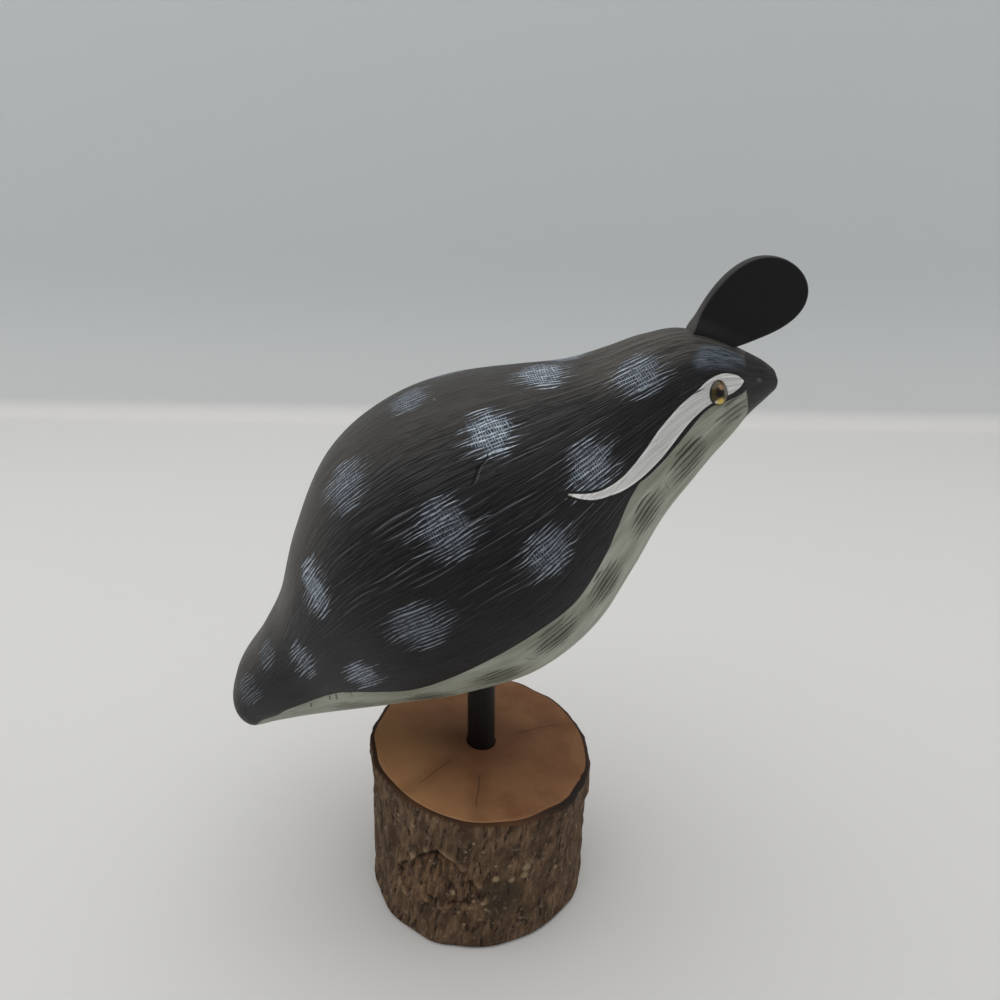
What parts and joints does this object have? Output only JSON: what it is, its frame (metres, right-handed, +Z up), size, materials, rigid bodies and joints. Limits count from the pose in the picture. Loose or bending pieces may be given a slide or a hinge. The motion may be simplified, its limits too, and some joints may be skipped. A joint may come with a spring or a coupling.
{
  "type": "quail wood carving",
  "caption": "Folk carving of a plump quail leaning forward with a teardrop topknot, in painted wood on a black dowel set in a slice of log with its bark on.",
  "frame": {"origin": "underside of the log slice, on the dowel's axis", "axes": "+Z up along the dowel, +X the way the bill points, +Y to the bird's left; the carving's mid-plane is y = 0"},
  "size_m": [0.1442, 0.0782, 0.1815],
  "materials": {
    "painted_body": "carved softwood in matt charcoal paint with dry-brushed pale spots, a white cheek stripe and a grey-green throat and belly",
    "painted_topknot": "thin carved wood in matt black paint",
    "glass_eye": "domed amber glass with a dark pupil, glossy",
    "black_dowel": "hardwood dowel painted satin black",
    "log_with_bark": "sawn and sanded brown end grain with rough grey-brown bark"
  },
  "bodies": {
    "root": {"quail_body": "painted_body", "topknot": "painted_topknot", "eye_left": "glass_eye", "eye_right": "glass_eye", "dowel": "black_dowel", "log_base": "log_with_bark"}
  },
  "joints": []
}
